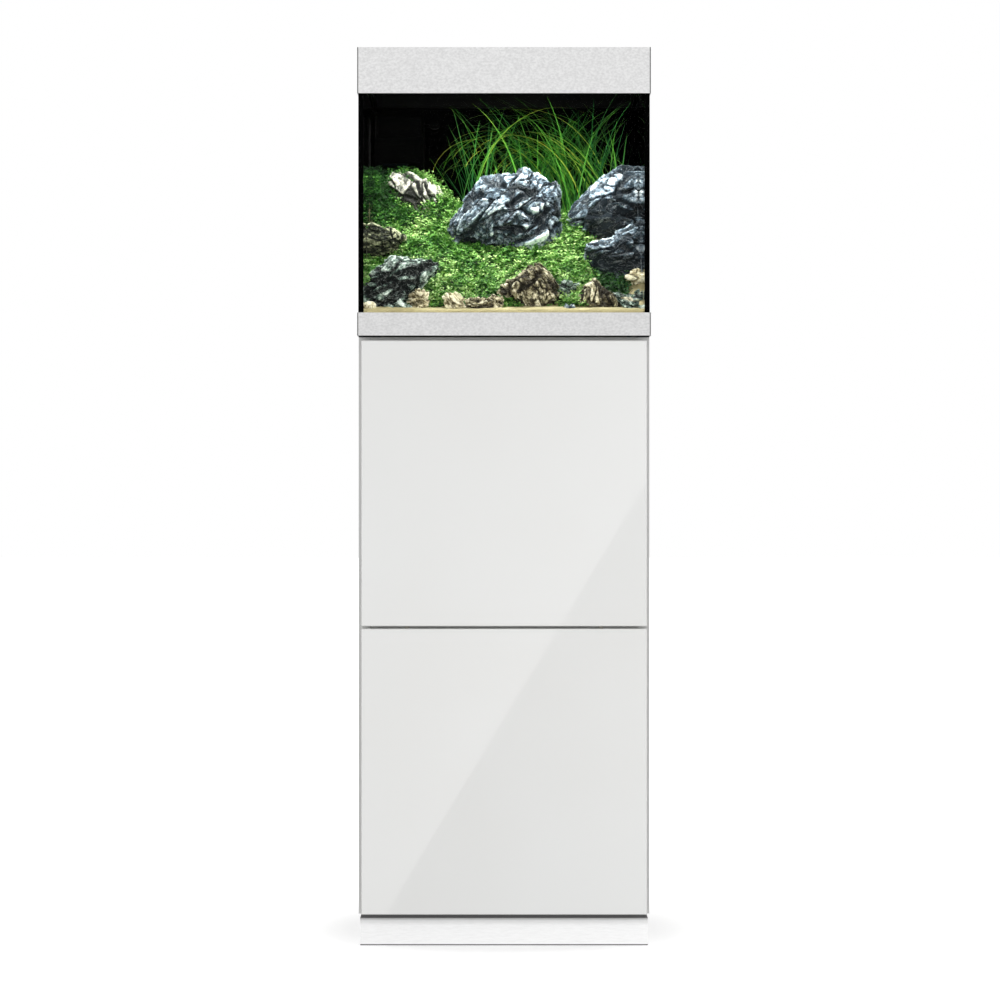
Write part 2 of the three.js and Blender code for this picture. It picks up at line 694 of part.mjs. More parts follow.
// The moulded frame sits on the glass with a lip inside it, and carries the rear deck, the cross
// bar over the light, the lid's ledge and three hinge lugs.
function hoodFrame() {
  const seat = paneTop + GAP;
  const lip = glassInside - 4.2;
  const ledge = lidBottom - GAP;
  const deck = [-frameWall - 0.5, frameWall + 0.5];
  const body = join(
    squareRing(glassOutside, frameWall, [seat, LID_TOP]),
    squareRing(glassOutside, lip, [seat, seat + 3]),
    squareRing(glassInside - 0.7, lip, [seat - 10, seat + 3]),
    squareRing(frameWall + 0.5, frameWall - 13.7, [ledge - 4, ledge]),
    block(deck, [deckFront, frameWall + 0.5], [lidBottom, LID_TOP]),
    block(deck, [deckFront, deckFront + 52], [LID_TOP - 12.5, LID_TOP]),
    ...HINGE_LUGS.map((x) => rod("x", KNUCKLE, ...x, [LID_PIN.y, LID_PIN.z], 12)),
    ...HINGE_LUGS.map((x) =>
      block(x, [LID_PIN.y, deckFront + 1], [LID_PIN.z - KNUCKLE, LID_PIN.z + KNUCKLE]),
    ),
  );
  // The ledge stops short of the turning knuckles, and opens under the lid's finger notch.
  const knuckleSpace = LID_KNUCKLES.map((x) =>
    block(x, [LID_PIN.y - 5, deckFront], [ledge - 5, LID_TOP + 1]),
  );
  const { half: reach, depth } = FINGER_NOTCH;
  const notch = block([-reach, reach], [-frameWall, depth - frameWall], [ledge - 5, ledge + 1]);
  return cut(body, lidPinHole(), notch, ...knuckleSpace);
}

function feedingLid() {
  const side = frameWall - 0.8;
  const front = -side;
  const panel = block([-side, side], [front, LID_PIN.y], [lidBottom, LID_TOP]);
  const knuckles = LID_KNUCKLES.map((x) => rod("x", KNUCKLE, ...x, [LID_PIN.y, LID_PIN.z], 12));
  const lugSpace = HINGE_LUGS.map(([x0, x1]) =>
    block([x0 - 2, x1 + 2], [LID_PIN.y - 4.4, LID_PIN.y + 5], [lidBottom - 5, LID_TOP + 1]),
  );
  // Only the knuckles reach behind the pin: outside their spans the panel is cut back.
  const { half: reach, depth } = FINGER_NOTCH;
  const notch = block([-reach, reach], [front - 1, front + depth], [lidBottom - 1, LID_TOP + 1]);
  return cut(join(cut(panel, ...lugSpace), ...knuckles), notch, lidPinHole());
}

// The light bar: an aluminium housing with cooling fins, a cable gland and a diffuser below.
function buildLight(light) {
  light.position.set(0, deckFront + 26, LID_TOP - 12.5 - GAP);
  const housing = block([-195, 195], [-20, 20], [-11, -3]);
  const fins = [];
  for (let i = 0; i < 8; i++) {
    const y = -19 + i * 5;
    fins.push(block([-195, 195], [y, y + 2], [-3.5, 0]));
  }
  const gland = rod("x", 4, 194, 206, [0, -7], 16);
  add(light, "light_housing", join(housing, ...fins, gland), brushedAluminium);
  const lens = new THREE.Shape();
  lens.moveTo(-16, 0);
  lens.quadraticCurveTo(0, -6.5, 16, 0);
  const bar = new THREE.ExtrudeGeometry(lens, { depth: 380, bevelEnabled: false, curveSegments: 8 });
  bar.rotateX(Math.PI / 2).rotateZ(Math.PI / 2).translate(-190, 0, -11 - GAP);
  add(light, "light_diffuser", bar, diffuserWhite);
}

// ---------------------------------------------------------------- the whole
buildCabinet(assembly());
DOORS.forEach(buildDoor);
const tank = assembly();
buildTank(tank);
buildAquascape(tank);
buildFilter(tank);
buildHood(assembly());

export default aquarium;
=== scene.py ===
import itertools
import math
import random
from collections import namedtuple

import bmesh
import bpy
import numpy as np
from mathutils import Matrix, Vector, noise
from mathutils.bvhtree import BVHTree


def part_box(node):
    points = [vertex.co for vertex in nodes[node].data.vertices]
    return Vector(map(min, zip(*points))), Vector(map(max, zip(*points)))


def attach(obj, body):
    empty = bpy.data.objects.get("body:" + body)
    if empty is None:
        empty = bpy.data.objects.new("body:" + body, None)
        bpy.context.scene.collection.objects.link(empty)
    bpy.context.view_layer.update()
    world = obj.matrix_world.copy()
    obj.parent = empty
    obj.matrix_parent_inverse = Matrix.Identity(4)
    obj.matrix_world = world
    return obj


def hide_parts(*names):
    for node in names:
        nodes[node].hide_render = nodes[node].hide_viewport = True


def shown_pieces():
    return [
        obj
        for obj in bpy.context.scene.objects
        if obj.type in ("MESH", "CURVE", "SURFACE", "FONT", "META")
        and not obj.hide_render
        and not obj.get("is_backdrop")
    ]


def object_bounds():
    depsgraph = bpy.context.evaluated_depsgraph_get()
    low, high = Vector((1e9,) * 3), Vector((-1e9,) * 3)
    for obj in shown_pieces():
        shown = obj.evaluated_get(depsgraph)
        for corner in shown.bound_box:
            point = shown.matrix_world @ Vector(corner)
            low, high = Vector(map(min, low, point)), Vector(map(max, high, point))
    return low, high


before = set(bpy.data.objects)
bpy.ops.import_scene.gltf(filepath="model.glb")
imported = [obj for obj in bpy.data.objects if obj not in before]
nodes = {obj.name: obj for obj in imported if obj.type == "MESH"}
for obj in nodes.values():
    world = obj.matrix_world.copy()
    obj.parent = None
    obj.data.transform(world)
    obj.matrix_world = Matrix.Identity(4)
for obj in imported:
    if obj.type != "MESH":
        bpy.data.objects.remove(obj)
cad_low, cad_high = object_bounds()
DOORS = cad_low.y  # the plane of the doors and the trims' fronts
GROOVE_BOTTOM = 0.0429  # of the groove between the plinth's faces and the cabinet
BEND_SHADE_STARTS = 0.2243  # how far out the trims' corners begin to bend, where a painted dark reflection starts
BEND_SHADE_FADE = 0.0006


# ------------------------------------------------------------------ materials
def linear(value):
    """The linear tone of a display value of 0 to 255."""
    return value / 255 / 12.92 if value <= 10 else ((value / 255 + 0.055) / 1.055) ** 2.4


def srgb(red, green, blue):
    """Linear colour from display values of 0 to 255."""
    return linear(red), linear(green), linear(blue)


class Look:
    """A procedural material. Its patterns are placed in metres, in the row frame."""

    def __init__(self, name, color, roughness, metallic=0.0, **sockets):
        self.material = bpy.data.materials.new(name)
        self.material.use_nodes = True
        self.tree = self.material.node_tree
        self.shader = self.tree.nodes["Principled BSDF"]
        self.place = self.node("ShaderNodeTexCoord").outputs["Object"]
        self.normal = None
        self.set("Base Color", (*color, 1))
        self.set("Roughness", roughness)
        self.set("Metallic", metallic)
        for socket, value in sockets.items():
            self.set(socket.replace("_", " "), value)

    def set(self, socket, value):
        self.shader.inputs[socket].default_value = value

    def node(self, kind, **settings):
        node = self.tree.nodes.new(kind)
        for key, value in settings.items():
            setattr(node, key, value)
        return node

    def link(self, output, entry):
        self.tree.links.new(output, entry)

    def vector(self, stretch):
        """Where a pattern is read, drawn closer along each axis by stretch."""
        if stretch is None:
            return self.place
        mapping = self.node("ShaderNodeMapping")
        mapping.inputs["Scale"].default_value = stretch
        self.link(self.place, mapping.inputs["Vector"])
        return mapping.outputs["Vector"]

    def noise(self, scale, detail=4.0, stretch=None, roughness=0.55, distortion=0.0):
        node = self.node("ShaderNodeTexNoise")
        node.inputs["Scale"].default_value = scale
        node.inputs["Detail"].default_value = detail
        node.inputs["Roughness"].default_value = roughness
        node.inputs["Distortion"].default_value = distortion
        self.link(self.vector(stretch), node.inputs["Vector"])
        return node.outputs["Fac"]

    def cells(self, scale):
        node = self.node("ShaderNodeTexVoronoi")
        node.inputs["Scale"].default_value = scale
        self.link(self.place, node.inputs["Vector"])
        return node.outputs["Distance"]

    def axes(self):
        """The X, Y and Z of each place."""
        split = self.node("ShaderNodeSeparateXYZ")
        self.link(self.place, split.inputs[0])
        return split.outputs

    def attribute(self, name):
        """A value that the mesh holds for each point."""
        return self.node("ShaderNodeAttribute", attribute_name=name).outputs["Fac"]

    def ramp(self, factor, *stops):
        """A colour or tone for each factor, from stops of a position and a colour or tone."""
        node = self.node("ShaderNodeValToRGB")
        elements = node.color_ramp.elements
        while len(elements) < len(stops):
            elements.new(0.5)
        for element, (position, color) in zip(elements, stops):
            element.position = position
            element.color = (*color, 1) if hasattr(color, "__len__") else (color, color, color, 1)
        self.link(factor, node.inputs["Fac"])
        return node.outputs["Color"]

    def feed(self, value, entry):
        """Links an output, or sets a colour or a number."""
        if isinstance(value, bpy.types.NodeSocket):
            self.link(value, entry)
        elif hasattr(value, "__len__"):
            entry.default_value = (*value, 1)
        else:
            entry.default_value = value

    def mix(self, factor, first, second, blend="MIX"):
        node = self.node("ShaderNodeMix", data_type="RGBA", blend_type=blend)
        for value, entry in ((factor, node.inputs[0]), (first, node.inputs[6]), (second, node.inputs[7])):
            self.feed(value, entry)
        return node.outputs[2]

    def math(self, operation, first, second=0.0):
        node = self.node("ShaderNodeMath", operation=operation)
        self.feed(first, node.inputs[0])
        self.feed(second, node.inputs[1])
        return node.outputs[0]

    def scaled(self, factor, low, high, start=0.3, end=0.7):
        """From low to high as the factor goes from start to end."""
        node = self.node("ShaderNodeMapRange")
        node.inputs["From Min"].default_value = start
        node.inputs["From Max"].default_value = end
        node.inputs["To Min"].default_value = low
        node.inputs["To Max"].default_value = high
        self.link(factor, node.inputs["Value"])
        return node.outputs["Result"]

    def color(self, output):
        self.link(output, self.shader.inputs["Base Color"])

    def roughness(self, output):
        self.link(output, self.shader.inputs["Roughness"])

    def bump(self, height, distance, strength=1.0):
        """Adds relief on top of any that is already there."""
        node = self.node("ShaderNodeBump")
        node.inputs["Distance"].default_value = distance
        node.inputs["Strength"].default_value = strength
        self.link(height, node.inputs["Height"])
        if self.normal is not None:
            self.link(self.normal, node.inputs["Normal"])
        self.normal = node.outputs["Normal"]
        self.link(self.normal, self.shader.inputs["Normal"])


def gloss_white():
    look = Look("gloss_white", (0.7, 0.7, 0.7), 0.09)
    tone = look.noise(3.0, 2)
    look.color(look.ramp(tone, (0.3, (0.765, 0.765, 0.75)), (0.7, (0.785, 0.79, 0.78))))
    look.roughness(look.scaled(look.noise(14, 3), 0.015, 0.03))
    look.bump(look.noise(90, 1), 0.000001)
    return look.material


def board_white():
    look = Look("board_white", (0.74, 0.74, 0.72), 0.45)
    look.color(look.ramp(look.noise(60, 4), (0.3, (0.70, 0.70, 0.68)), (0.7, (0.76, 0.76, 0.74))))
    look.bump(look.noise(900, 3), 0.00006)
    return look.material


def aluminium(name, bright, metallic=1.0):
    """Fine satin aluminium, softly mottled, with a short grain along the sheet, and a painted dark
    reflection on its bent corners.
    """
    look = Look(name, (bright, bright, bright), 0.34, metallic)
    grain = look.noise(420, 6, (1, 1, 8), 0.7)
    mottle = look.noise(240, 3, (1, 1, 1.4), 0.6)
    cloud = look.noise(60, 4, None, 0.6)
    fine = look.mix(0.6, look.ramp(grain, (0.35, bright * 0.82), (0.65, bright * 1.06)),
                    look.ramp(mottle, (0.34, bright * 0.75), (0.66, bright * 1.15)))
    sheet = look.mix(0.25, fine, look.ramp(cloud, (0.3, bright * 0.9), (0.7, bright)))
    axes = look.axes()
    across = look.math("ABSOLUTE", axes["X"])
    ahead = look.math("ABSOLUTE", axes["Y"])
    # Painted reflection: the bent corners are painted nearly black, as if they mirrored the darker studio to
    # the sides.
    bend = look.scaled(look.math("MINIMUM", across, ahead), 0.0, 0.7, BEND_SHADE_STARTS, BEND_SHADE_STARTS + BEND_SHADE_FADE)
    look.color(look.mix(bend, sheet, (0.06, 0.06, 0.06)))
    look.roughness(look.scaled(grain, 0.3, 0.42))
    look.bump(grain, 0.00008, 0.6)
    return look.material


def plinth():
    """Faces with short brush marks and painted shade: darker towards the top under the doors, nearly black
    in the groove above them, and a painted shadow along the joint to the floor.
    """
    look = Look("plinth_aluminium", (0.8, 0.8, 0.8), 0.4, 0.35)
    face = look.ramp(look.noise(330, 4, (0.25, 0.25, 1.6), 0.6), (0.3, 0.93), (0.68, 1.0))
    height = look.scaled(look.axes()["Z"], 0.0, 1.0, 0.0, GROOVE_BOTTOM)
    # Painted shade: a painted shadow at the floor joint, darkening towards the top under the doors, and the
    # groove painted nearly black.
    shade = look.ramp(height, (0.04, 0.16), (0.05, 1.0), (0.72, 1.0), (0.9, 0.8), (0.995, 0.36), (1.0, 0.1))
    look.color(look.mix(1.0, face, shade, "MULTIPLY"))
    look.roughness(look.scaled(look.noise(420, 5), 0.34, 0.46))
    look.bump(look.noise(700, 2), 0.00003)
    return look.material


def steel():
    look = Look("nickel_steel", (0.62, 0.63, 0.64), 0.28, 1.0)
    look.roughness(look.scaled(look.noise(260, 4), 0.2, 0.38))
    look.bump(look.noise(900, 2), 0.00003)
    return look.material


def glass(name="clear_glass", tint=(0.02, 0.05, 0.04), alpha=0.07, lets_light=False):
    look = Look(name, tint, 0.02, 0.0, Alpha=alpha)
    look.roughness(look.scaled(look.noise(9, 2), 0.015, 0.03))
    look.color(look.ramp(look.noise(5, 2), (0.3, tint), (0.7, tuple(v * 1.3 for v in tint))))
    look.material.use_transparent_shadow = lets_light
    return look.material


def side_glass():
    """Clear when seen straight on. Seen along its length it mirrors the inside, as water makes it do."""
    look = Look("side_glass", (0.8, 0.86, 0.84), 0.02)
    look.color(look.ramp(look.noise(5, 2), (0.3, (0.76, 0.83, 0.8)), (0.7, (0.82, 0.88, 0.86))))
    weight = look.node("ShaderNodeLayerWeight")
    weight.inputs["Blend"].default_value = 0.5
    facing = weight.outputs["Facing"]
    look.link(look.ramp(facing, (0.62, 0.05), (0.86, 1.0)), look.shader.inputs["Alpha"])
    look.link(look.ramp(facing, (0.6, 0.0), (0.84, 1.0)), look.shader.inputs["Metallic"])
    look.material.use_transparent_shadow = False
    return look.material


def dark(name, tone, roughness, grain=700, distance=0.00006, shine=0.5):
    """Black plastic, rubber, silicone or film, which differ in gloss and grain."""
    look = Look(name, (tone, tone, tone), roughness)
    look.set("Specular IOR Level", shine)
    look.color(look.ramp(look.noise(40, 3), (0.3, tone * 0.7), (0.7, tone * 1.3)))
    look.roughness(look.scaled(look.noise(grain / 4, 3), roughness * 0.85, min(1, roughness * 1.15)))
    look.bump(look.noise(grain, 3), distance)
    return look.material


def opal():
    look = Look("opal_diffuser", (0.95, 0.96, 0.98), 0.4)
    look.set("Emission Color", (0.93, 0.97, 1.0, 1))
    look.set("Emission Strength", 2.0)
    look.color(look.ramp(look.noise(30, 2), (0.3, (0.9, 0.92, 0.94)), (0.7, (0.96, 0.97, 0.98))))
    look.bump(look.noise(600, 2, (0.1, 1, 1)), 0.00005)
    return look.material


def foam():
    look = Look("filter_foam", (0.006, 0.009, 0.012), 0.95)
    look.set("Specular IOR Level", 0.05)
    holes = look.cells(520)
    look.color(look.ramp(holes, (0.1, (0.001, 0.002, 0.003)), (0.6, (0.006, 0.009, 0.012))))
    look.bump(holes, 0.0006)
    return look.material


def clear_rubber():
    look = Look("clear_rubber", (0.78, 0.75, 0.66), 0.25)
    look.color(look.ramp(look.noise(200, 2), (0.3, (0.72, 0.69, 0.6)), (0.7, (0.82, 0.79, 0.72))))
    look.bump(look.noise(700, 2), 0.00004)
    return look.material


def sand_look():
    look = Look("sand", (0.5, 0.44, 0.22), 0.95)
    fine = look.ramp(look.noise(1200, 2), (0.3, (0.31, 0.26, 0.11)), (0.52, (0.45, 0.40, 0.20)),
                     (0.72, (0.60, 0.55, 0.32)))
    patch = look.ramp(look.noise(16, 4), (0.35, (0.32, 0.27, 0.12)), (0.65, (0.56, 0.50, 0.28)))
    look.color(look.mix(0.35, fine, patch))
    look.bump(look.cells(900), 0.0006)
    return look.material


def stone(name, dark_tone, mid_tone, light_tone, vein=0.5):
    """Weathered layered stone. The mesh holds a tone for each point, partly wear and partly painted shade,
    and vein is how strong the veins are.
    """
    look = Look(name, mid_tone, 0.85)
    look.set("Specular IOR Level", 0.25)
    mottle = look.noise(110, 8, None, 0.7, 0.8)
    patches = look.math("MULTIPLY", look.math("SUBTRACT", mottle, 0.5), 0.9)
    worn = look.math("ADD", look.attribute("worn"), patches)
    # The near-black of the deepest cracks and gullies, which is painted shade.
    crack_and_shade = tuple(v * 0.25 for v in dark_tone)
    base = look.ramp(worn, (0.18, crack_and_shade), (0.35, dark_tone), (0.51, mid_tone), (0.68, light_tone))
    veins = look.ramp(look.noise(34, 6, (1, 1, 1.6), 0.6, 1.6), (0.485, 0.0), (0.5, 1.0), (0.515, 0.0))
    strength = look.scaled(worn, vein * 0.4, vein, 0.2, 0.45)
    veined = look.mix(look.math("MULTIPLY", veins, strength), base, light_tone)
    speckle = look.scaled(look.noise(600, 4, None, 0.7), 0.0, 0.5, 0.45, 0.75)
    look.color(look.mix(speckle, veined, tuple(v * 0.5 for v in mid_tone), "MULTIPLY"))
    look.bump(mottle, 0.003, 0.7)
    look.bump(look.noise(320, 8, None, 0.7), 0.0012, 0.8)
    return look.material


def leaves(name, *stops):
    """Leaf green that differs from leaf to leaf, by an attribute of the mesh."""
    look = Look(name, stops[1][1], 0.6)
    look.set("Specular IOR Level", 0.25)
    tone = look.attribute("tone")
    vein = look.noise(900, 3)
    look.color(look.mix(look.scaled(vein, 0.0, 0.35), look.ramp(tone, *stops), stops[0][1]))
    look.bump(vein, 0.0002, 0.4)
    return look.material


LOOKS = {
    "gloss_white": gloss_white(),
    "board_white": board_white(),
    "aluminium": aluminium("satin_aluminium", 0.79),
    "trim": aluminium("trim_aluminium", 0.715),
    "plinth": plinth(),
    "steel": steel(),
    "glass": glass(),
    "front_glass": glass("front_glass", (0.0004, 0.001, 0.0008), 0.015, True),
    "side_glass": side_glass(),
    "silicone": dark("black_silicone", 0.0008, 0.6, 300, shine=0.01),
    "plastic": dark("black_plastic", 0.004, 0.5, shine=0.2),
    "wet_plastic": dark("wet_black_plastic", 0.0012, 0.7, shine=0.03),
    "film": dark("black_film", 0.0006, 0.9, 900, 0.00002, shine=0.02),
    "black_glass": dark("black_backed_glass", 0.0006, 0.3, 200, 0.00001, shine=0.02),
    "rubber": dark("black_rubber", 0.01, 0.8),
    "clear_rubber": clear_rubber(),
    "opal": opal(),
    "foam": foam(),
    "sand": sand_look(),
    "grey_stone": stone("grey_stone", srgb(54, 68, 76), srgb(136, 153, 162), srgb(236, 244, 242)),
    "dark_stone": stone("dark_stone", srgb(36, 46, 44), srgb(114, 138, 122), srgb(234, 246, 234), 0.6),
    "beige_stone": stone("beige_stone", srgb(78, 80, 72), srgb(154, 154, 140), srgb(240, 234, 214), 0.3),
    "cream_stone": stone("cream_stone", srgb(150, 140, 104), srgb(238, 232, 198), srgb(255, 252, 230), 0.3),
    "brown_stone": stone("brown_stone", srgb(70, 64, 46), srgb(164, 158, 122), srgb(250, 244, 216), 0.4),
    "umber_stone": stone("umber_stone", srgb(26, 32, 22), srgb(80, 84, 62), srgb(186, 190, 150), 0.3),
    # The grass's palest, yellow stop is the painted highlight of its arching blades.
    "grass": leaves("grass_leaves", (0.0, srgb(2, 28, 10)), (0.35, srgb(20, 88, 30)),
                    (0.7, srgb(96, 172, 52)), (1.0, srgb(232, 230, 84))),
    "carpet": leaves("carpet_leaves", (0.0, srgb(8, 32, 10)), (0.35, srgb(44, 96, 32)),
                     (0.7, srgb(112, 172, 70)), (1.0, srgb(210, 240, 154))),
    "moss": leaves("moss", (0.0, srgb(12, 26, 8)), (0.4, srgb(22, 48, 14)), (1.0, srgb(40, 78, 22))),
}


def dress(look, *names):
    for name in names:
        data = nodes[name].data
        data.materials.clear()
        data.materials.append(LOOKS[look])


for door in ("upper", "lower"):
    dress("gloss_white", f"{door}_door")
    dress("board_white", f"{door}_latch_body", f"{door}_latch_plunger")
    for end in ("top", "bottom"):
        dress("steel", *(f"{door}_hinge_{piece}_{end}" for piece in ("arm", "cup", "pin")))
dress("gloss_white", "side_panel_left", "side_panel_right")
dress("board_white", "top_panel", "middle_shelf", "bottom_panel", "back_panel")
dress("aluminium", "hood_band", "feeding_lid", "light_housing")
dress("trim", "base_trim")
dress("plinth", "plinth_frame")
dress("steel", "lid_pin")
dress("glass", "bottom_glass", "heater_tube")
dress("front_glass", "front_glass")
dress("side_glass", "left_glass", "right_glass")
dress("black_glass", "rear_glass")
dress("silicone", "silicone_seal")
dress("film", "background_film")
dress("plastic", "base_frame", "hood_frame")
dress("wet_plastic", "filter_housing", "pump_head", "outlet_nozzle")
dress("rubber", "tank_strip_left", "tank_strip_right")
dress("clear_rubber", "door_bumper_left", "door_bumper_right")
dress("opal", "light_diffuser")
dress("foam", "filter_foam")


def soften(name, width):
    """Rounds a CAD piece's sharp edges, so that they catch the light."""
    bevel = nodes[name].modifiers.new("edges", "BEVEL")
    bevel.width = width
    bevel.segments = 3
    bevel.limit_method = "ANGLE"
    bevel.angle_limit = math.radians(40)


for name in ("upper_door", "lower_door"):
    soften(name, 0.0006)
for name in ("side_panel_left", "side_panel_right", "feeding_lid"):
    soften(name, 0.0005)


# ------------------------------------------------------------------ new meshes
def make_piece(name, mesh, look, node):
    """Adds a mesh to the cabinet's body as a piece that takes a CAD node's place."""
    piece = bpy.data.objects.new(name, mesh)
    bpy.context.scene.collection.objects.link(piece)
    mesh.materials.clear()
    mesh.materials.append(LOOKS[look])
    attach(piece, "cabinet")
    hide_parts(node)


def mesh_from(name, points, faces):
    mesh = bpy.data.meshes.new(name)
    mesh.from_pydata(points, [], faces)
    mesh.polygons.foreach_set("use_smooth", [True] * len(mesh.polygons))
    mesh.update()
    return mesh


def move_points(mesh, points):
    mesh.vertices.foreach_set("co", np.array(points, np.float32).ravel())
    mesh.update()


def set_values(mesh, name, values):
    attribute = mesh.attributes.new(name, "FLOAT", "POINT")
    attribute.data.foreach_set("value", np.asarray(values, np.float32))


def remeshed(node, voxel):
    """An even, fine copy of a CAD node's mesh."""
    copy = bpy.data.objects.new("copy", nodes[node].data.copy())
    bpy.context.scene.collection.objects.link(copy)
    remesh = copy.modifiers.new("even", "REMESH")
    remesh.mode = "VOXEL"
    remesh.voxel_size = voxel
    remesh.use_smooth_shade = True
    smooth = copy.modifiers.new("smooth", "SMOOTH")
    smooth.factor = 0.5
    smooth.iterations = 4
    graph = bpy.context.evaluated_depsgraph_get()
    mesh = bpy.data.meshes.new_from_object(copy.evaluated_get(graph))
    bpy.data.objects.remove(copy)
    return mesh


def cell_values(cells, seed):
    """Four even random values from 0 to 1 for each whole-numbered cell."""
    base = cells @ np.array([127.1, 311.7, 74.7]) + seed * 19.19
    return np.stack([np.modf(np.abs(np.sin(base + k * 37.7)) * 43758.5453)[0] for k in range(4)], -1)


def chips(points, seed):
    """Chips one unit wide: their height, their tone from 0 to 1 and how far a point is from their edge."""
    cell = np.floor(points)
    best, second = np.full(len(points), 9.0), np.full(len(points), 9.0)
    away, values = np.zeros_like(points), np.zeros((len(points), 4))
    for step in itertools.product((-1, 0, 1), repeat=3):
        chance = cell_values(cell + step, seed)
        offset = points - cell - step - chance[:, :3]
        distance = np.linalg.norm(offset, axis=1)
        nearer = distance < best
        second = np.where(nearer, best, np.minimum(second, distance))
        best = np.where(nearer, distance, best)
        away[nearer], values[nearer] = offset[nearer], chance[nearer]
    slope = values[:, 1:4] - 0.5
    slope /= np.linalg.norm(slope, axis=1)[:, None] + 1e-6
    return (away * slope).sum(1), values[:, 3], second - best


def hollowed(points, gullies):
    """From 0 to 1, how deep in a gully each point lies. A gully runs between two places seen from the
    front, as (x, z, x, z, half its width)."""
    deepest = np.zeros(len(points))
    flat = points[:, [0, 2]]
    for x0, z0, x1, z1, half in gullies:
        start, run = np.array([x0, z0]), np.array([x1 - x0, z1 - z0])
        share = np.clip((flat - start) @ run / (run @ run + 1e-12), 0, 1)
        away = np.linalg.norm(flat - start - share[:, None] * run, axis=1)
        deepest = np.maximum(deepest, np.clip(1.6 * (1 - away / half), 0, 1))
    return deepest


FOLDS = 26  # bends of the stone's layers in a metre
FOLD_DEPTH = 0.016
LAYERING = 1.6  # how much flatter the chips are along the grain
GRIT = 190  # grains of the finest relief in a metre
RIDGE_TOP = 2.2  # of the ridged noise, which is brought to between -0.5 and 0.7

# The chips come in three sizes. For each: its size against the largest, how far the folds shift it, its
# seed, the height of its slopes and steps, and how much it changes the wear. Then its cracks: their width,
# how sharply they open, the tone above which a chip has them, how deep they are, and their painted shade.
Level = namedtuple("Level", "size shift seed slope step wear width curve opens cut darkens")
LEVELS = (
    Level(1.0, 0, 0, 1.1, 1.1, 0.24, 0.17, 0.7, 0.3, 1.3, 0.5),
    Level(0.42, 1, 20, 0.4, 0.3, 0.26, 0.2, 1, 0.72, 0.5, 0.34),
    Level(0.19, -1, 40, 0.2, 0.16, 0.2, 0.26, 1, 0.66, 0.3, 0.26),
)


def weather(mesh, seed, fold, grain, size, depth, grow=0.0, cracks=1.0, gullies=()):
    """Breaks the surface into flat chips and wrinkles, drawn out across the grain and with some cracks
    between them, and records a tone for each point: the chips' own tones, lighter on the ridges and darker
    in the creases, partly wear and partly painted shade, and painted shade in the cracks and gullies. Seed
    and fold pick the chips and how they bend, size is that of the largest chips, and depth is how far they
    stand out."""
    noise.seed_set(fold)
    count = len(mesh.vertices)
    places, normals = np.empty(count * 3), np.empty(count * 3)
    mesh.vertices.foreach_get("co", places)
    mesh.vertices.foreach_get("normal", normals)
    places, normals = places.reshape(-1, 3), normals.reshape(-1, 3)
    grain = np.array(grain) / np.linalg.norm(grain)
    warp = np.array([noise.noise_vector(Vector(p) * FOLDS) for p in places]) * FOLD_DEPTH
    fine = np.array([noise.fractal(Vector(p) * GRIT, 0.9, 2.1, 3) for p in places])
    bent = places + warp
    layered = bent + np.outer(bent @ grain, grain) * LAYERING
    ridge = np.array([noise.ridged_multi_fractal(Vector(p) * FOLDS, 0.8, 2.1, 5, 1.0, 2.0) for p in layered])
    ridge = np.clip(ridge / RIDGE_TOP, 0, 1.2) - 0.5
    height = ridge * 0.75 + fine * 0.15
    # Lighter on the ridges and darker in the creases between them, partly wear and partly painted shade.
    worn = 0.46 + ridge * 0.34 + fine * 0.14
    for level in LEVELS:
        slope, tone, edge = chips((layered + warp * level.shift) / (size * level.size), seed + level.seed)
        crack_and_shade = np.clip(1 - edge / level.width, 0, 1) ** level.curve * (tone > level.opens) * cracks
        height = height + slope * level.slope + (tone - 0.5) * level.step - crack_and_shade * level.cut
        # Painted shade darkens the cracks.
        worn = worn + (tone - 0.5) * level.wear - crack_and_shade * level.darkens
    faces_front = normals[:, 1] < 0.35
    gully = hollowed(places + warp * 0.5, gullies) * faces_front
    height = height * (1 - gully * 0.6) - gully * 1.5
    # Painted shade darkens the gullies.
    worn = worn - gully * 0.6
    mesh.vertices.foreach_set("co", (places + normals * (height * depth + grow)[:, None]).ravel())
    mesh.update()
    mesh.set_sharp_from_angle(angle=math.radians(38))
    set_values(mesh, "worn", worn)


TANK_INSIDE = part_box("left_glass")[1].x  # X of the left pane's inner face, which the right one mirrors
NEAR_PANE = 0.183  # how far out a stone begins to lean towards the pane
PANE_GAP = 0.0005
ROCK_LEAN = 0.42
ROCK_GROWTH = 0.0022  # each rock stands this far out of its CAD solid, before it is chipped


def inside_tank(mesh, lean=0.22):
    """Lets whatever lies near a side pane lean against it, and go no further."""
    limit = -TANK_INSIDE - PANE_GAP
    for vertex in mesh.vertices:
        x = vertex.co.x
        x += math.copysign(lean * max(0.0, abs(x) - NEAR_PANE), x)
        vertex.co.x = max(-limit, min(limit, x))
    mesh.update()
    return mesh


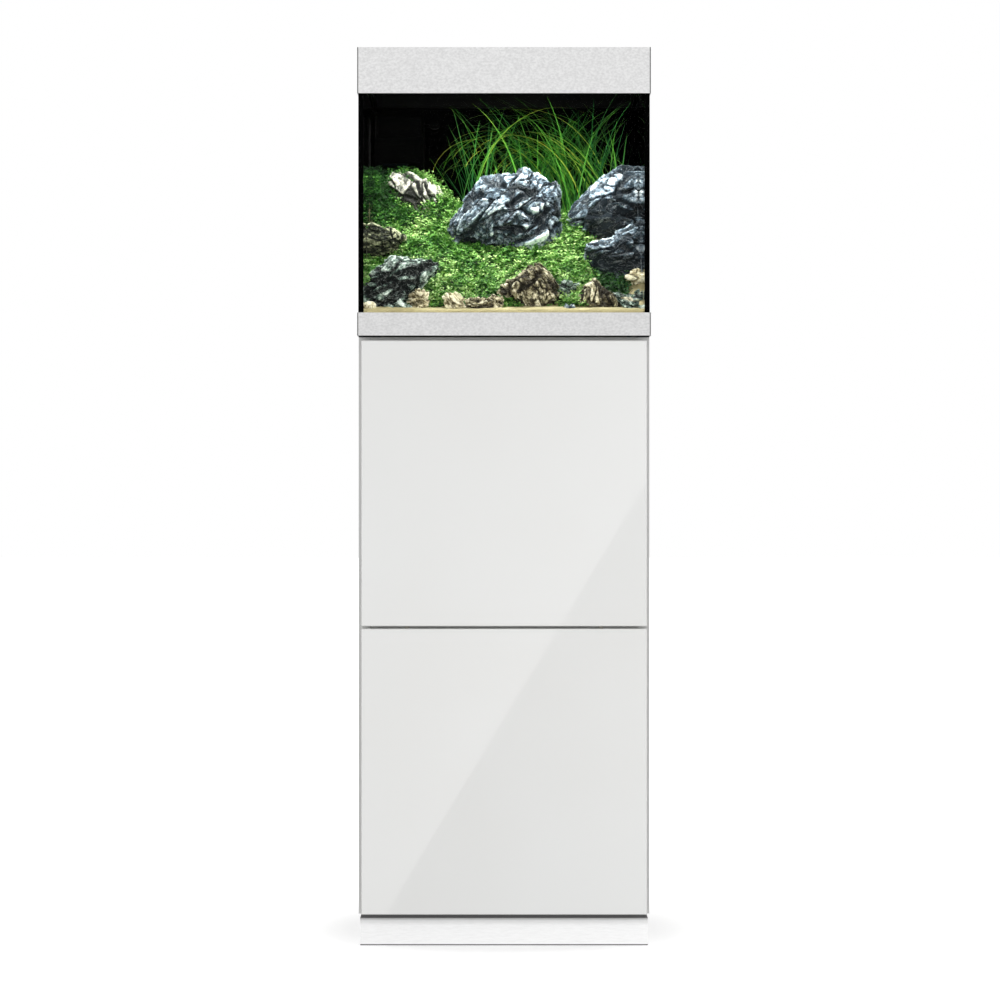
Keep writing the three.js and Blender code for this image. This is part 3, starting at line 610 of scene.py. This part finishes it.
# Each stone's CAD node, look, slot, seed, fold, grain, chip size, chip height and mesh size.
ROCKS = (
    ("centre_rock", "grey_stone", "grey_stone", 1, 12, (-0.62, 0.15, 0.76), 0.062, 0.0062, 0.0015),
    ("right_rock_upper", "grey_stone", "grey_stone", 2, 7, (-0.5, -0.3, 0.8), 0.064, 0.0056, 0.0017),
    ("right_rock_lower", "grey_stone", "grey_stone", 3, 12, (-0.5, 0.1, 0.9), 0.050, 0.0056, 0.0017),
    ("left_rear_rock", "beige_stone", "brown_stone", 4, 4, (0.8, 0.2, 0.5), 0.040, 0.0050, 0.0015),
    ("left_middle_rock", "umber_stone", "brown_stone", 5, 12, (0.3, 0.1, 1.0), 0.022, 0.0036, 0.0013),
    ("left_front_rock", "dark_stone", "grey_stone", 6, 12, (-0.5, 0.0, 0.85), 0.050, 0.0048, 0.0015),
    ("front_rock", "brown_stone", "brown_stone", 7, 7, (0.8, 0.1, 0.5), 0.040, 0.0044, 0.0014),
    ("front_right_rock", "brown_stone", "brown_stone", 8, 4, (0.9, 0.1, 0.3), 0.024, 0.0036, 0.0013),
)
# The hollows of each stone, as in hollowed(), which are carved in and darkened with painted shade.
GULLIES = {
    "centre_rock": (
        (0.058, 1.194, 0.007, 1.162, 0.0065), (-0.025, 1.202, -0.001, 1.193, 0.0065),
        (-0.053, 1.177, -0.037, 1.186, 0.004), (0.055, 1.123, 0.067, 1.154, 0.006),
        (-0.069, 1.104, 0.032, 1.093, 0.009), (-0.012, 1.129, 0.032, 1.129, 0.003),
        (0.083, 1.170, 0.089, 1.142, 0.004),
    ),
    "right_rock_upper": ((0.164, 1.146, 0.168, 1.142, 0.034), (0.200, 1.158, 0.217, 1.182, 0.008)),
    "right_rock_lower": ((0.150, 1.066, 0.190, 1.066, 0.018), (0.162, 1.045, 0.170, 1.036, 0.014)),
    "left_front_rock": ((-0.190, 1.029, -0.104, 1.060, 0.005), (-0.202, 1.011, -0.138, 1.035, 0.004)),
    "left_rear_rock": ((-0.188, 1.205, -0.145, 1.179, 0.004), (-0.155, 1.221, -0.136, 1.192, 0.004)),
    "front_rock": ((0.025, 1.011, 0.056, 1.042, 0.004), (0.068, 1.030, 0.080, 1.014, 0.004)),
}
for node, look, slot, seed, fold, grain, size, depth, voxel in ROCKS:
    rock = remeshed(node, voxel)
    weather(rock, seed, fold, grain, size, depth, grow=ROCK_GROWTH, gullies=GULLIES.get(node, ()))
    make_piece(f"{node}_weathered", inside_tank(rock, ROCK_LEAN), look, node)


# ------------------------------------------------------------------ sand and pebbles
class Ground:
    """The height of a CAD node's upper surface, found by dropping a ray."""

    def __init__(self, node):
        data = nodes[node].data
        corners = [vertex.co for vertex in data.vertices]
        self.tree = BVHTree.FromPolygons(corners, [polygon.vertices[:] for polygon in data.polygons])

    def at(self, x, y):
        hit = self.tree.ray_cast(Vector((x, y, 2)), Vector((0, 0, -1)))[0]
        return hit.z if hit else None


ground = Ground("sand_bed")
ROOT_DEPTH = 0.004  # below the sand


def sand_mesh():
    """The sand bed with low ripples and grains."""
    mesh = remeshed("sand_bed", 0.0035)
    points = []
    for vertex in mesh.vertices:
        place = vertex.co
        ripple = noise.fractal(place * 45, 1.0, 2.0, 3) * 0.0009 + noise.noise(place * 260) * 0.0004
        points.append(place + vertex.normal * ripple)
    move_points(mesh, points)
    return inside_tank(mesh)


make_piece("sand_surface", sand_mesh(), "sand", "sand_bed")


# Small stones along the front: centre, half sizes and turn about Y, for each colour.
PEBBLES = {
    "cream_stone": (
        (-0.133, -0.196, 1.003, 0.015, 0.012, 0.016, -0.5),
        (-0.078, -0.194, 1.000, 0.015, 0.013, 0.014, 0.3),
        (0.205, -0.095, 1.046, 0.010, 0.012, 0.012, 0.2),
        (-0.207, -0.206, 0.990, 0.008, 0.007, 0.008, 0.0),
    ),
    "brown_stone": (
        (-0.036, -0.196, 0.994, 0.023, 0.012, 0.011, 0.15),
        (-0.012, -0.188, 0.998, 0.012, 0.010, 0.012, -0.4),
    ),
    "dark_stone": (
        (-0.163, -0.202, 0.990, 0.014, 0.008, 0.009, 0.1),
        (0.098, -0.150, 1.022, 0.015, 0.012, 0.014, -0.5),
        (0.180, -0.172, 1.001, 0.017, 0.014, 0.013, 0.2),
        (0.197, -0.188, 0.992, 0.014, 0.010, 0.007, 0.0),
        (0.206, -0.140, 1.012, 0.009, 0.011, 0.009, 0.2),
    ),
    "grey_stone": (
        (0.104, -0.202, 0.990, 0.009, 0.008, 0.0055, 0.1),
    ),
}
PEBBLE_SEED = 60
PEBBLE_FOLD = 7
PEBBLE_GRAIN = (0.4, 0.1, 0.9)


def pebbles():
    """All the small stones of a colour make one piece."""
    for order, (look, stones) in enumerate(PEBBLES.items()):
        ball = bmesh.new()
        for x, y, z, wide, deep, tall, turn in stones:
            turned = Matrix.Translation((x, y, z)) @ Matrix.Rotation(turn, 4, "Y")
            place = turned @ Matrix.Diagonal((wide, deep, tall, 1))
            bmesh.ops.create_icosphere(ball, subdivisions=5, radius=1, matrix=place)
        mesh = bpy.data.meshes.new("pebbles")
        ball.to_mesh(mesh)
        ball.free()
        weather(mesh, PEBBLE_SEED + order, PEBBLE_FOLD, PEBBLE_GRAIN, 0.018, 0.0054, cracks=0.5)
        make_piece(f"pebbles_{look}", inside_tank(mesh), look, "sand_bed")


pebbles()


# ------------------------------------------------------------------ plants
HOLLOW_AT = (-0.147, 0.04)  # X and Y of its middle
HOLLOW_HALF = (0.062, 0.045)
HOLLOW_DEPTH = 0.02


def hollow(place):
    """How far the plants sink in front of the rear left stone, which stands clear of them."""
    across = (place.x - HOLLOW_AT[0]) / HOLLOW_HALF[0]
    along = (place.y - HOLLOW_AT[1]) / HOLLOW_HALF[1]
    away = Vector((across, along)).length
    return HOLLOW_DEPTH * max(0.0, 1 - away * away)


class Blades:
    """Collects small leaves or blades into one mesh, each with a tone of its own."""

    def __init__(self):
        self.points, self.faces, self.tones = [], [], []

    def leaf(self, base, ahead, side, fold, tone):
        start = len(self.points)
        middle = base + ahead * 0.5
        self.points += [base, middle - side + fold, base + ahead, middle + side + fold]
        self.faces += [(start, start + 1, start + 2), (start, start + 2, start + 3)]
        self.tones += [tone * 0.8, tone, tone * 1.1, tone]

    def ribbon(self, spine, sides, widths, tones):
        start = len(self.points)
        for place, side, width, tone in zip(spine, sides, widths, tones):
            self.points += [place - side * width, place + side * width]
            self.tones += [tone, tone]
        for i in range(len(spine) - 1):
            a = start + 2 * i
            self.faces.append((a, a + 1, a + 3, a + 2))

    def mesh(self, name):
        mesh = mesh_from(name, self.points, self.faces)
        set_values(mesh, "tone", np.clip(self.tones, 0, 1))
        return mesh


def upper_points(node, count, chance):
    """Random places on a CAD node's upward faces, evenly by area."""
    steepest = 0.25  # Z of the normal of the steepest face that bears plants
    data = nodes[node].data
    data.calc_loop_triangles()
    triangles, weights = [], []
    for triangle in data.loop_triangles:
        if triangle.normal.z > steepest:
            triangles.append([data.vertices[i].co for i in triangle.vertices])
            weights.append(triangle.area)
    for a, b, c in chance.choices(triangles, weights, k=count):
        u, v = chance.random(), chance.random()
        if u + v > 1:
            u, v = 1 - u, 1 - v
        yield a + (b - a) * u + (c - a) * v


LEAVES_EACH = 6  # on a sprig, in pairs


def sprig(blades, chance, foot, light):
    """A short stem with pairs of round leaves, which are paler the more painted light they are given, and
    darker low on the stem.
    """
    lean = Vector((chance.uniform(-0.6, 0.6), chance.uniform(-0.8, 0.3), 1)).normalized()
    stem = chance.uniform(0.009, 0.017)
    turn = chance.uniform(0, math.tau)
    for i in range(LEAVES_EACH):
        share = (i // 2 + 1) / (LEAVES_EACH / 2)
        base = foot + lean * (stem * share)
        angle = turn + (i % 2) * math.pi + (i // 2) * math.pi / 2 + chance.uniform(-0.4, 0.4)
        out = Vector((math.cos(angle), math.sin(angle), chance.uniform(0.1, 0.9))).normalized()
        length = chance.uniform(0.0042, 0.0068) * (1.1 - 0.25 * share)
        side = out.cross(lean).normalized() * length * chance.uniform(0.26, 0.38)
        tone = light * (0.25 + 0.85 * share) + chance.uniform(-0.15, 0.25)
        blades.leaf(base, out * length, side, lean * length * 0.08, tone)


SPRIGS = 7000
EDGE_SPRIGS = 1000  # down the left pane
SHADED_SPRIGS = 600  # under the stones on the right, darkened with painted shade
SHADED_X = (0.142, 0.196)
SHADED_Y = (-0.152, -0.06)
LEAF_GAP = 0.0004  # between the leaves and the left pane


def carpet(chance):
    """The leaves over the carpet plant, with painted shade that darkens them at the rear left and under the
    stones on the right.
    """
    blades = Blades()
    for top in upper_points("carpet_plant", SPRIGS, chance):
        lift = noise.fractal(top * 30, 1.0, 2.0, 3) * 0.006 - 0.011 - hollow(top)
        light = 0.62 + noise.fractal(top * 26 + Vector((5, 1, 2)), 1.0, 2.0, 2) * 0.4
        # Painted shade darkens the leaves behind the rear left stone.
        far_back = max(0.0, min(1.0, (top.y - 0.01) / 0.06))
        behind = far_back * max(0.0, min(1.0, (-0.14 - top.x) / 0.05))
        sprig(blades, chance, top + Vector((0, 0, lift)), light - 0.45 * behind)
    layer = Ground("carpet_plant")
    for _ in range(EDGE_SPRIGS):
        y = chance.uniform(-0.19, 0.12)
        top = layer.at(-0.2125, max(-0.184, y))
        if top is not None:
            foot = Vector((chance.uniform(-0.2165, -0.208), y, top - chance.uniform(0.008, 0.02)))
            # Painted shade: the sprigs towards the rear of the pane are darker.
            sprig(blades, chance, foot, chance.uniform(0.3, 0.8) if y < 0.01 else chance.uniform(0.0, 0.3))
    for _ in range(SHADED_SPRIGS):
        foot = Vector((chance.uniform(*SHADED_X), chance.uniform(*SHADED_Y), 0))
        foot.z = ground.at(foot.x, foot.y) - ROOT_DEPTH
        sprig(blades, chance, foot, chance.uniform(0.0, 0.22))
    for point in blades.points:
        point.x = max(TANK_INSIDE + LEAF_GAP, point.x)
    return blades.mesh("carpet_leaves")


def under_carpet():
    """The tangle of stems below the leaves, painted dark green as the shade between the leaves."""
    mesh = remeshed("carpet_plant", 0.004)
    points = []
    for vertex in mesh.vertices:
        place = vertex.co
        sink = Vector((0, 0, 0.007 + hollow(place)))
        points.append(place - sink + vertex.normal * (noise.noise(place * 160) * 0.003 - 0.002))
    move_points(mesh, points)
    set_values(mesh, "tone", [0.5 + noise.noise(p * 90) for p in points])
    return mesh


BLADE_STEPS = 22


def blade(blades, chance, root, lean, length, width, droop, tone):
    """One long arching blade. It leaves the ground along lean and bends over by droop."""
    heading = Vector((lean[0], lean[1], 1)).normalized()
    level = Vector((heading.x, heading.y, 0))
    level = level.normalized() if level.length > 0.05 else Vector((chance.choice((-1, 1)), 0, 0))
    across = Vector((-level.y, level.x, 0))
    face = (across * chance.uniform(0.5, 1.0) + level * chance.uniform(-0.6, 0.6)).normalized()
    spine, sides, widths, tones = [], [], [], []
    place = root.copy()
    angle = math.acos(max(-1, min(1, heading.z)))
    for i in range(BLADE_STEPS + 1):
        share = i / BLADE_STEPS
        spine.append(place.copy())
        sides.append(face)
        widths.append(width / 2 * (1 - share ** 2.2) * (0.7 + 0.3 * min(1, share * 8)) + 0.00012)
        # Painted light: each blade is paler towards its tip.
        tones.append(tone + 0.18 * share + chance.uniform(-0.03, 0.03))
        angle += droop * (0.25 + 1.5 * share) / BLADE_STEPS
        direction = level * math.sin(angle) + Vector((0, 0, math.cos(angle)))
        place = place + direction * (length / BLADE_STEPS)
    blades.ribbon(spine, sides, widths, tones)


# Tufts of grass: where each one grows, its blades, how far it leans to the right, and the shares of its
# blades that arch over and that stand tall.
TUFTS = (
    (-0.060, 0.110, 12, -0.30, 0.5, 0.0),
    (-0.042, 0.140, 18, -0.12, 0.0, 0.0),
    (-0.010, 0.150, 20, -0.05, 0.1, 0.1),
    (0.028, 0.150, 30, 0.0, 0.14, 0.14),
    (0.058, 0.140, 56, 0.0, 0.12, 0.16),
    (0.090, 0.160, 48, 0.0, 0.18, 0.16),
    (0.122, 0.135, 56, 0.0, 0.24, 0.2),
    (0.150, 0.160, 42, 0.05, 0.3, 0.16),
    (0.180, 0.140, 34, 0.0, 0.3, 0.1),
    (0.203, 0.160, 16, -0.02, 0.4, 0.2),
)
GRASS_X = (-0.13, 0.2155)
GRASS_Y = (0.06, 0.214)
BLADE_WIDTH = (0.0016, 0.0036)


def blade_shape(chance, made, arching, tall):
    """A blade's length, droop and tone. The first of a tuft's blades arch over, and the next stand tall. The
    arching blades get the palest tones, painted light.
    """
    if made < arching:
        return chance.uniform(0.25, 0.38), chance.uniform(1.9, 3.1), chance.uniform(0.35, 0.85)
    if made < tall:
        return chance.uniform(0.23, 0.30), chance.uniform(0.2, 1.2), chance.uniform(0.1, 0.6)
    return chance.triangular(0.11, 0.25, 0.17), chance.uniform(0.1, 1.1), chance.uniform(0.05, 0.55)


def grass(chance):
    """Blades inside the grass's space and clear of the outlet nozzle, which swivels."""
    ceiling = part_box("grass_plant")[1].z + 0.014
    nozzle_low, nozzle_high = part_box("outlet_nozzle")
    blades = Blades()

    def fits(p):
        beside_nozzle = p.x < nozzle_high.x + 0.01 and p.z > nozzle_low.z - 0.04
        in_plan = GRASS_X[0] < p.x < GRASS_X[1] and GRASS_Y[0] < p.y < GRASS_Y[1]
        return in_plan and p.z < ceiling and not beside_nozzle

    for x, y, count, side, arching, tall in TUFTS:
        made = 0
        while made < count:
            root = Vector((x + chance.gauss(0, 0.011), y + chance.gauss(0, 0.010), 0))
            height = ground.at(root.x, root.y)
            if height is None:
                continue
            root.z = height - ROOT_DEPTH
            lean = (side + chance.gauss(0, 0.15), chance.gauss(-0.01, 0.05))
            length, droop, tone = blade_shape(chance, made, count * arching, count * (arching + tall))
            first, counted = len(blades.points), len(blades.faces)
            blade(blades, chance, root, lean, length, chance.uniform(*BLADE_WIDTH), droop, tone)
            if all(fits(p) for p in blades.points[first:]):
                made += 1
            else:
                del blades.points[first:], blades.tones[first:], blades.faces[counted:]
    return blades.mesh("grass_blades")


plant_chance = random.Random(11)
make_piece("carpet_leaves", carpet(plant_chance), "carpet", "carpet_plant")
make_piece("carpet_stems", under_carpet(), "moss", "carpet_plant")
make_piece("grass_blades", grass(plant_chance), "grass", "grass_plant")


# ------------------------------------------------------------------ camera, floor and light
CAMERA_DISTANCE = 4.5  # from the doors
CAMERA_HEIGHT = 0.692
CAMERA_SIDE = -0.0062
PICTURE_WIDTH = 1.541  # metres across the picture at the doors
SENSOR = 36

scene = bpy.context.scene
scene.view_settings.view_transform = "Standard"
lens = bpy.data.cameras.new("camera")
lens.sensor_width = SENSOR
lens.lens = SENSOR * CAMERA_DISTANCE / PICTURE_WIDTH
camera = bpy.data.objects.new("camera", lens)
camera.location = (CAMERA_SIDE, DOORS - CAMERA_DISTANCE, CAMERA_HEIGHT)
camera.rotation_euler = (math.radians(90), 0, 0)
scene.collection.objects.link(camera)
scene.camera = camera


def make_floor():
    """A white floor that glows further out, so that only the shade close to the object shows."""
    half = 30
    points = [(-half, -half, 0), (half, -half, 0), (half, half, 0), (-half, half, 0)]
    floor = bpy.data.objects.new("floor", mesh_from("floor", points, [(0, 1, 2, 3)]))
    look = Look("floor", (0.8, 0.8, 0.8), 0.9)
    look.color(look.ramp(look.noise(0.6, 2), (0.3, 0.80), (0.7, 0.82)))
    away = look.node("ShaderNodeVectorMath", operation="LENGTH")
    look.link(look.place, away.inputs[0])
    glow = look.scaled(away.outputs["Value"], 0.4, 1.0, 0.24, 0.6)
    look.set("Emission Color", (1, 1, 1, 1))
    look.link(glow, look.shader.inputs["Emission Strength"])
    look.set("Specular IOR Level", 0.0)
    floor.data.materials.append(look.material)
    scene.collection.objects.link(floor)
    floor.visible_glossy = floor.visible_diffuse = False
    floor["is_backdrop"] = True


make_floor()


def area_light(name, place, target, size, power, color=(1, 1, 1), diffuse=True, glossy=True):
    data = bpy.data.lights.new(name, "AREA")
    data.shape = "RECTANGLE"
    data.size, data.size_y = size
    data.energy = power
    data.color = color
    light = bpy.data.objects.new(name, data)
    light.location = place
    light.rotation_euler = (Vector(target) - Vector(place)).to_track_quat("-Z", "Y").to_euler()
    light.visible_camera = False
    light.visible_diffuse = diffuse
    light.visible_glossy = glossy
    scene.collection.objects.link(light)
    return light


def light_only(light, reached_objects):
    """Lets a light reach just these objects."""
    reached = bpy.data.collections.new(light.name + "_reach")
    for thing in reached_objects:
        reached.objects.link(thing)
    light.light_linking.receiver_collection = reached


def cad(*names):
    return [nodes[name] for name in names]


area_light("front_left", (-2.6, -3.6, 1.6), (0, 0, 0.6), (2.4, 2.4), 29, glossy=False)
area_light("front_right", (2.8, -3.2, 0.9), (0, 0, 0.4), (2.0, 1.8), 24, glossy=False)
area_light("overhead", (0, -0.4, 3.4), (0, 0, 0), (3.4, 3.4), 10)
area_light("behind", (0.6, 3.6, 2.2), (0, 0, 0.8), (2.4, 2.4), 14)

EDGE = ((0.367, 0.731), (-0.298, -0.371))  # X and Z of two points on the door card's lower right edge
CARD_DISTANCE = 3.0  # from the doors
CARD_SIZE = (6.0, 4.0)
METAL_CARD_DISTANCE = 3.2


def make_door_card():
    """The card that the lacquered doors reflect, with its lower right edge on a slant."""
    (right, high), (left, low) = EDGE
    along = Vector((right - left, 0, high - low)).normalized()
    inward = Vector((-along.z, 0, along.x))
    middle = Vector(((right + left) / 2, DOORS - CARD_DISTANCE, (high + low) / 2))
    card = area_light("card", middle + inward * CARD_SIZE[1] / 2, (0, 0, 0), CARD_SIZE, 100, diffuse=False)
    card.rotation_euler = Matrix((along, inward, along.cross(inward))).transposed().to_euler()
    light_only(card, cad("upper_door", "lower_door"))


make_door_card()
low_fill = area_light("low_fill", (0.9, -1.63, 0.35), (0, -0.2, 0.35), (0.5, 0.5), 6.5, glossy=False)
light_only(low_fill, cad("upper_door", "lower_door", "plinth_frame"))
metal_card = area_light("metal_card", (0, DOORS - METAL_CARD_DISTANCE, 0.9), (0, 0, 0.9), (5, 5), 42,
                        diffuse=False)
light_only(metal_card, cad("hood_band", "base_trim", "plinth_frame", "feeding_lid"))


def light_tank():
    """A lamp under the hood, which rides with it, and a weak one in front, both for what is planted."""
    endings = ("_weathered", "_leaves", "_stems", "_blades", "_surface")
    planted = [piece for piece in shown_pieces() if piece.name.endswith(endings)]
    planted += [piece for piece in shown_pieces() if piece.name.startswith("pebbles")]
    lamp_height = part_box("light_diffuser")[0].z - 0.014
    lamp = area_light("tank_light", (0, -0.12, lamp_height), (0, 0, 1.06), (0.40, 0.12), 3.6,
                      (0.96, 0.98, 1.0))
    light_only(lamp, planted)
    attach(lamp, "hood")
    fill = area_light("tank_fill", (0, -0.62, 1.02), (0, 0, 1.06), (0.4, 0.2), 1.5)
    light_only(fill, planted)


light_tank()


def make_world():
    """White behind the object. Gloss sees a studio that is darker to the left and right, which draws
    the object's upright edges; everything else is lit evenly."""
    world = bpy.data.worlds.new("studio")
    world.use_nodes = True
    tree = world.node_tree
    tree.nodes.clear()

    def background(strength):
        node = tree.nodes.new("ShaderNodeBackground")
        node.inputs["Color"].default_value = (1, 1, 1, 1)
        node.inputs["Strength"].default_value = strength
        return node

    def choose(factor, otherwise, chosen):
        node = tree.nodes.new("ShaderNodeMixShader")
        tree.links.new(factor, node.inputs[0])
        tree.links.new(otherwise.outputs[0], node.inputs[1])
        tree.links.new(chosen.outputs[0], node.inputs[2])
        return node

    place = tree.nodes.new("ShaderNodeTexCoord")
    split = tree.nodes.new("ShaderNodeSeparateXYZ")
    size = tree.nodes.new("ShaderNodeMath")
    size.operation = "ABSOLUTE"
    ramp = tree.nodes.new("ShaderNodeValToRGB")
    sides = ((0.8, 0.55), (0.93, 0.02))  # how far to the side, from 0 to 1, and the tone there
    for element, (position, tone) in zip(ramp.color_ramp.elements, sides):
        element.position = position
        element.color = (tone, tone, tone, 1)
    glossy = background(1.0)
    tree.links.new(place.outputs["Generated"], split.inputs[0])
    tree.links.new(split.outputs["X"], size.inputs[0])
    tree.links.new(size.outputs[0], ramp.inputs["Fac"])
    tree.links.new(ramp.outputs["Color"], glossy.inputs["Color"])
    path = tree.nodes.new("ShaderNodeLightPath")
    lit = choose(path.outputs["Is Glossy Ray"], background(0.6), glossy)
    seen = choose(path.outputs["Is Camera Ray"], lit, background(1.0))
    output = tree.nodes.new("ShaderNodeOutputWorld")
    tree.links.new(seen.outputs[0], output.inputs[0])
    scene.world = world


make_world()
